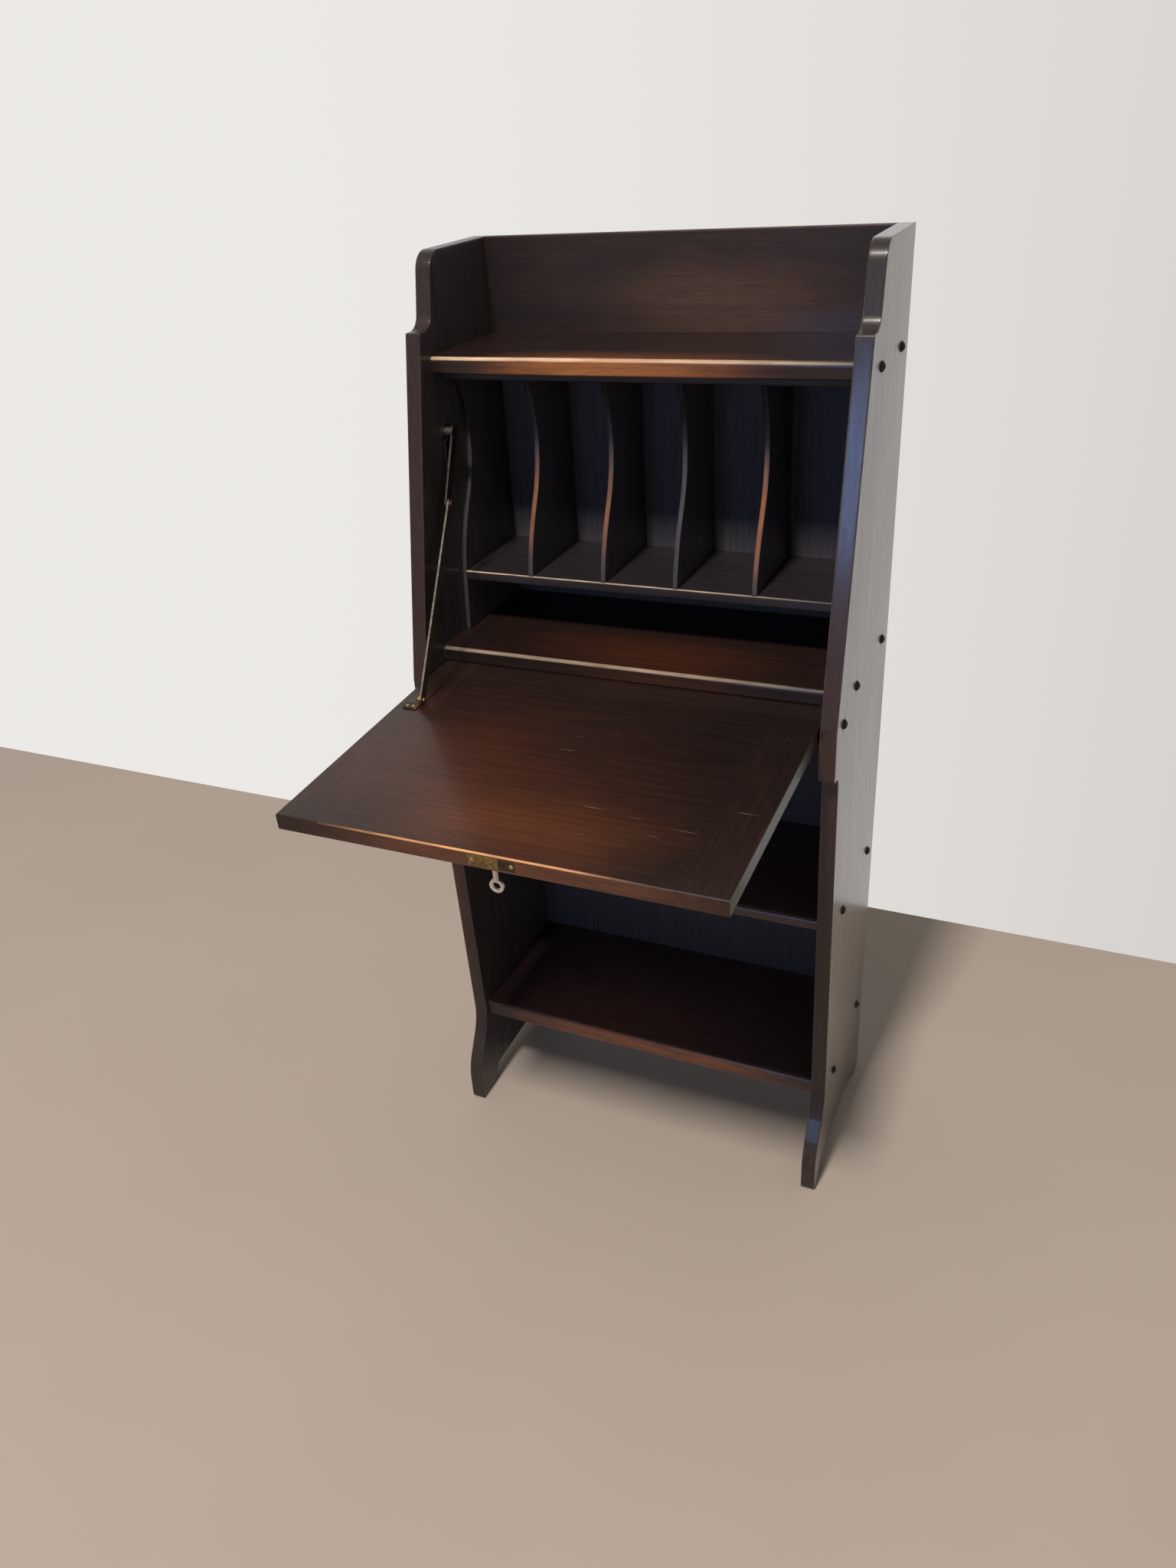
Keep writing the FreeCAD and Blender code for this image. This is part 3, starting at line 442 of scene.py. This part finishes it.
def dress_sides():
    """Greyed sides with brown front edges, inner faces painted lighter than the outer ones as painted fill
    light, and cracks at the screws; the right one shines.
    """
    places = screw_places()
    middle = (0.5, 0.5, 0.5)
    left_edge = spot(("left_side",), middle, (0.0, 0.0, 0.583), 0.8, SIDE_EDGE)
    right_edge = spot(("right_side",), middle, (0.0, 0.0, 0.5), 0.9, SIDE_EDGE)
    # Inner faces painted lighter as painted fill light
    inner_fill_light = everywhere(0.9, SIDE_INNER_FILL_LIGHT)
    dress(oak("oak_left_side", "z", (0.33, 0.05, 0.1), tones=SLATE, warm=0.10, gloss=0.38, coat=0.30,
              wear=0.5, faces=[(FRONT, FLAT, *left_edge), (RIGHT, FLAT, *inner_fill_light)], marks=splits(places, LEFT)),
          "left_side")
    dress(oak("oak_right_side", "z", (1.71, 0.43, 0.6), tones=SLATE, warm=0.10, gloss=0.38, coat=0.95,
              front_coat=0.4, film_rough=0.16, wear=0.5, worn=(RUBBED, CREAM),
              faces=[(FRONT, FLAT, *right_edge), (LEFT, FLAT, *inner_fill_light)], marks=splits(places, RIGHT)),
          "right_side")


def dress_back():
    """The gallery's board, with a painted warm pool of light in the middle, a painted reflection of the left
    side at its left end and painted shade at its right end, and the back panel, painted lighter as fill light
    for the shade in the case; both brown behind.
    """
    board = ("gallery_back",)
    rear = (REAR, FLAT, *everywhere(0.70, RAW_REAR))
    # Painted light on the gallery's board: a warm pool in the middle, a painted reflection of the left side
    # at the left end, painted shade at the right end
    dress(oak("oak_gallery", "x", (0.21, 0.08, -1.08), tones=TAWNY, figure=0.55, warm=0.12, gloss=0.50,
              coat=0.22, faces=[rear],
              light_and_shade=[spot(board, (0.62, 0.5, 0.336), (0.44, 0.0, 0.664), 0.60, GALLERY_LIT_PATCH),
                    spot(board, (-0.06, 0.5, 0.419), (0.24, 0.0, 2.490), 0.7, GALLERY_LEFT_REFLECTION),
                    spot(board, (1.08, 0.5, 0.419), (0.26, 0.0, 2.490), 0.6, GALLERY_RIGHT_SHADE)]),
          "gallery_back")
    # The back panel's VIOLET tones are painted lighter as fill light for the shade in the case
    dress(oak("oak_back", "z", (0.52, 0.21, 0.7), tones=VIOLET, warm=0.0, gloss=0.65, coat=0.0, faces=[rear]),
          "back_panel")


def dress_shelves():
    """Shelves with front edges that are rubbed and carry painted highlights, and with warm patches behind
    them that are partly worn finish and partly painted light; the mid and bottom shelves are painted lighter
    as fill light for the shade in the case, and the bottom shelf's left end carries painted shade.
    """
    top = ("top_shelf",)
    desk = ("desk_floor",)
    bottom = ("bottom_shelf",)
    # The nose tints are painted highlights laid on the wear of the arrises
    top_arris_sheen_and_wear = spot(top, (0.38, 0.5, 0.5), (0.72, 0.0, 0.0), 0.95, TOP_ARRIS_SHEEN_AND_WEAR)
    desk_arris_sheen_and_wear = spot(desk, (0.38, 0.5, 0.5), (0.68, 0.0, 0.0), 0.7, DESK_ARRIS_SHEEN_AND_WEAR)
    bottom_edge = spot(bottom, (0.52, 0.5, 0.5), (0.48, 0.0, 0.0), 0.95, BOTTOM_EDGE)
    # Top shelf: warm patches near the front, partly worn finish and partly painted light
    dress(oak("oak_top_shelf", "x", (0.93, 0.02, -1.02), warm=0.2, wear=1.0, coat=0.35,
              faces=[(NOSE, ROUND, *top_arris_sheen_and_wear)],
              light_and_shade=[spot(top, (0.44, -0.001, 0.5), (0.46, 0.334, 0.0), 0.95, AMBER),
                    spot(top, (0.42, -0.037, 0.5), (0.40, 0.121, 0.0), 0.95, HONEY)]),
          "top_shelf")
    # Desk floor: a painted warm pool of light in the middle of its front half
    dress(oak("oak_floor_board", "x", (0.44, 0.02, -0.66), warm=0.1, wear=1.4, worn=(HONEY, CREAM), coat=0.25,
              faces=[(NOSE, ROUND, *desk_arris_sheen_and_wear)],
              light_and_shade=[spot(desk, (0.54, 0.198, 0.5), (0.40, 0.396, 0.0), 0.7, RUST)]),
          "desk_floor")
    # The SHADE tones of the mid and bottom shelves are painted lighter as fill light for the shade in the
    # case
    dress(oak("oak_mid_shelf", "x", (1.13, 0.12, -0.33), tones=SHADE, warm=0.2, coat=0.3), "mid_shelf")
    # Bottom shelf: a painted warm pool of light in the middle, and painted shade darkening its left end
    dress(oak("oak_bottom_shelf", "x", (0.65, 0.03, -0.09), tones=SHADE, warm=0.2, wear=0.8, coat=0.3,
              faces=[(FRONT, FLAT, *bottom_edge)],
              light_and_shade=[spot(bottom, (0.44, 0.218, 0.5), (0.48, 0.545, 0.0), 0.7, BOTTOM_LIT_PATCH),
                    spot(bottom, (-0.02, 0.5, 0.5), (0.14, 0.0, 0.0), 0.9, UMBER)]),
          "bottom_shelf")


def dress_pigeonholes():
    """Dark boards, painted lighter as fill light for the shade in the case, with a painted highlight along
    the shelf's arris, and dividers whose front edges carry painted highlights at half height where they bulge
    out and painted shadow of the top shelf at their tops.
    """
    # Painted highlights on the shelf's arris and on the dividers' bulging front edges at half height; painted
    # shadow of the top shelf at the dividers' tops
    arris = spot(("pigeonhole_shelf",), (0.234, 0.5, 0.5), (0.820, 0.0, 0.0), 0.85, PIGEON_ARRIS_HIGHLIGHT)
    bulge_highlight_left = spot(DIVIDERS, (0.167, 0.5, 0.352), (0.337, 0.0, 0.356), 0.85, HONEY)
    bulge_highlight_right = spot(DIVIDERS, (1.002, 0.5, 0.352), (0.236, 0.0, 0.356), 0.85, HONEY)
    top_shadow = spot(DIVIDERS, (0.5, 0.5, 1.023), (0.0, 0.0, 0.461), 1.0, PIGEON_TOP_SHADOW)
    # NIGHT and DUSK tones are painted lighter as fill light for the shade inside the pigeonholes
    dress(oak("oak_pigeon", "x", (0.82, 0.02, -0.75), tones=NIGHT, warm=0.0, wear=0.6, coat=0.15,
              front_coat=0.3, faces=[(NOSE, SHARP, *arris)]),
          "pigeonhole_top", "pigeonhole_shelf")
    dress(oak("oak_upright", "z", (0.13, 0.06, 0.4), tones=DUSK, warm=0.0, wear=0.0, coat=0.20,
              front_coat=0.4, faces=[(FRONT, FLAT, *tint) for tint in (bulge_highlight_left, bulge_highlight_right, top_shadow)]),
          *CHEEKS, *DIVIDERS)


def dress_fall():
    """The fall, with a painted warm pool of light in the middle of the writing surface, a brighter painted
    patch near the middle of its front and painted shade towards its right back, and a front edge that is
    rubbed and carries a painted highlight along its arris.
    """
    # Painted light: a warm pool in the middle of the writing surface, a brighter patch near the middle of its
    # front, painted shade towards its right back
    light_and_shade = [spot(FALL, (0.299, 0.339, 0.5), (0.644, 0.574, 0.0), 0.9, FALL_LIT_PATCH),
            spot(FALL, (0.460, 0.156, 0.5), (0.443, 0.261, 0.0), 0.55, AMBER),
            spot(FALL, (1.003, 0.731, 0.5), (0.604, 0.574, 0.0), 0.45, PITCH)]
    edge = (FRONT, FLAT, *spot(FALL, (0.560, 0.5, 0.5), (0.543, 0.0, 0.0), 0.95, FALL_EDGE))
    # A painted highlight along the front arris, laid on its wear
    arris = (NOSE, SHARP, *spot(FALL, (0.460, 0.5, 0.5), (0.402, 0.0, 0.0), 1.0, FALL_ARRIS_SHEEN_AND_WEAR))
    panel, *cleats = FALL
    look = {"figure": 0.6, "warm": 0.3, "gloss": 0.36, "coat": 0.25, "front_coat": 0.5, "wear": 0.0,
            "light_and_shade": light_and_shade, "marks": scratches}
    dress(oak("oak_fall_panel", "x", (0.71, 0.06, -0.62), ease=0.0015, faces=[edge, arris], **look), panel)
    dress(oak("oak_cleats", "y", (0.31, 0.08, -0.62), ease=0.0010, faces=[edge], **look), *cleats)


def dress_fittings():
    """The lock, the stay, the screws and the key."""
    lock_dirt = patch(("lock_selvedge",), (1.019, 0.5, 0.5), (0.404, 0.0, 0.0))
    bracket_dirt = patch(("stay_bracket",), (0.111, 0.5, 0.5), (0.806, 0.0, 0.0))
    dress(metal("brass_plate", BRASS, 0.36, dull=lock_dirt), "lock_selvedge")
    dress(metal("brass_old", BRASS, 0.36), "escutcheon", "strike_plate")
    dress(metal("brass_bracket", BRACKET_BRASS, 0.34, grime=0.45, dull=bracket_dirt),
          "stay_bracket", "stay_bracket_pin")
    dress(metal("brass_dark", DARK_BRASS, 0.38, grime=0.7, spread=0.40),
          "stay_side_plate", "stay_stud", "stay_upper_arm")
    dress(metal("brass_grey", GREY_BRASS, 0.36, grime=0.6, spread=0.40), "stay_lower_arm", "stay_elbow_rivet")
    dress(metal("brass_screw", SCREW_BRASS, 0.30, grime=0.4),
          "selvedge_screws", "strike_screws", "stay_plate_screws", "stay_bracket_screws")
    dress(metal("iron_dark", IRON, 0.5, shine=0.6),
          "shelf_screws", "back_nails", "pivot_screw_left", "pivot_screw_right", "lock_case", "lock_bolt")
    dress(metal("nickel_worn", NICKEL, 0.36, grime=0.25), "key")


def surround():
    """A pale wall behind the bureau, shading off to the right, in a dimmer room that gives the fill light."""
    world = bpy.data.worlds.new("surround")
    world.use_nodes = True
    tree = world.node_tree
    tree.nodes.clear()
    way = tree.nodes.new("ShaderNodeTexCoord")
    parts = tree.nodes.new("ShaderNodeSeparateXYZ")
    tree.links.new(way.outputs["Generated"], parts.inputs[0])

    def mix(share, a, b):
        """Two colours, each a constant or an output, mixed by an output."""
        mixed = tree.nodes.new("ShaderNodeMix")
        mixed.data_type = "RGBA"
        tree.links.new(share, mixed.inputs[0])
        for socket, value in ((mixed.inputs[6], a), (mixed.inputs[7], b)):
            if isinstance(value, bpy.types.NodeSocket):
                tree.links.new(value, socket)
            else:
                socket.default_value = (*value, 1.0)
        return mixed.outputs[2]

    def blend(axis, band, a, b):
        """One colour below a band on an axis, another above it."""
        share = tree.nodes.new("ShaderNodeMapRange")
        share.interpolation_type = "SMOOTHSTEP"
        tree.links.new(parts.outputs[axis], share.inputs[0])
        share.inputs[1].default_value, share.inputs[2].default_value = band
        return mix(share.outputs[0], a, b)

    wall = blend("X", WALL_SHADING, WALL_LIT, WALL_DIM)
    wall = blend("Z", CEILING_RISE, wall, CEILING)
    room = blend("Y", FRONT_TO_REAR, ROOM, wall)
    fill = blend("Z", LOW_TO_HIGH, FILL_LOW, FILL_HIGH)
    fill = blend("Y", FRONT_TO_REAR, fill, FILL_REAR)
    fill = blend("Z", HIGH_TO_TOP, fill, FILL_TOP)
    rays = tree.nodes.new("ShaderNodeLightPath")
    seen = rays.outputs["Is Camera Ray"]
    for kind in ("Is Glossy Ray", "Is Transmission Ray"):
        either = tree.nodes.new("ShaderNodeMath")
        either.operation = "MAXIMUM"
        tree.links.new(seen, either.inputs[0])
        tree.links.new(rays.outputs[kind], either.inputs[1])
        seen = either.outputs[0]
    back = tree.nodes.new("ShaderNodeBackground")
    tree.links.new(mix(seen, fill, room), back.inputs["Color"])
    out = tree.nodes.new("ShaderNodeOutputWorld")
    tree.links.new(back.outputs[0], out.inputs[0])
    bpy.context.scene.world = world


def floor():
    """A pale floor that ends where the wall stood."""
    g = Graph("floor_plain")
    colour = g.mix(g.noise(g.coords, 2.2, 3.0, 0.5), FLOOR_DEEP, FLOOR_PALE)
    material = g.finish(base_color=colour, roughness=0.5, specular_ior_level=0.3)
    corners = [(-FLOOR_REACH, -FLOOR_REACH, 0), (FLOOR_REACH, -FLOOR_REACH, 0),
               (FLOOR_REACH, WALL_PLACE, 0), (-FLOOR_REACH, WALL_PLACE, 0)]
    mesh = bpy.data.meshes.new("floor")
    mesh.from_pydata(corners, [], [(0, 1, 2, 3)])
    mesh.materials.append(material)
    piece = bpy.data.objects.new("floor", mesh)
    bpy.context.scene.collection.objects.link(piece)


def lamp(name, place, size, power, tone, aim):
    """A soft square lamp aimed at the bureau."""
    data = bpy.data.lights.new(name, "AREA")
    data.size = size
    data.energy = power
    data.color = tone
    piece = bpy.data.objects.new(name, data)
    piece.location = place
    piece.rotation_euler = (Vector(aim) - piece.location).to_track_quat("-Z", "Y").to_euler()
    bpy.context.scene.collection.objects.link(piece)


def camera():
    """The photograph's view."""
    data = bpy.data.cameras.new("view")
    data.sensor_width = SENSOR_WIDTH
    data.lens = LENS
    data.shift_x, data.shift_y = LENS_SHIFT
    data.clip_start, data.clip_end = CLIP
    cam = bpy.data.objects.new("view", data)
    around = Matrix.Rotation(math.radians(AZIMUTH), 4, "Z")
    tilt = Matrix.Rotation(math.radians(90 - ELEVATION), 4, "X")
    roll = Matrix.Rotation(math.radians(ROLL), 4, "Z")
    cam.matrix_world = Matrix.Translation(EYE) @ around @ tilt @ roll
    bpy.context.scene.collection.objects.link(cam)
    bpy.context.scene.camera = cam


dress_sides()
dress_back()
dress_shelves()
dress_pigeonholes()
dress_fall()
dress_fittings()
surround()
floor()
lamp("sky_lamp", place=(-0.26, -3.46, 6.0), size=0.60, power=450.0, tone=(1.0, 0.96, 0.91),
     aim=(0.0, 0.0, 0.7))
lamp("window_lamp", place=(-0.50, -3.6, 1.52), size=0.72, power=21.0, tone=(0.26, 0.48, 1.0),
     aim=(0.0, 0.0, 0.9))
camera()
bpy.context.scene.view_settings.view_transform = "Standard"
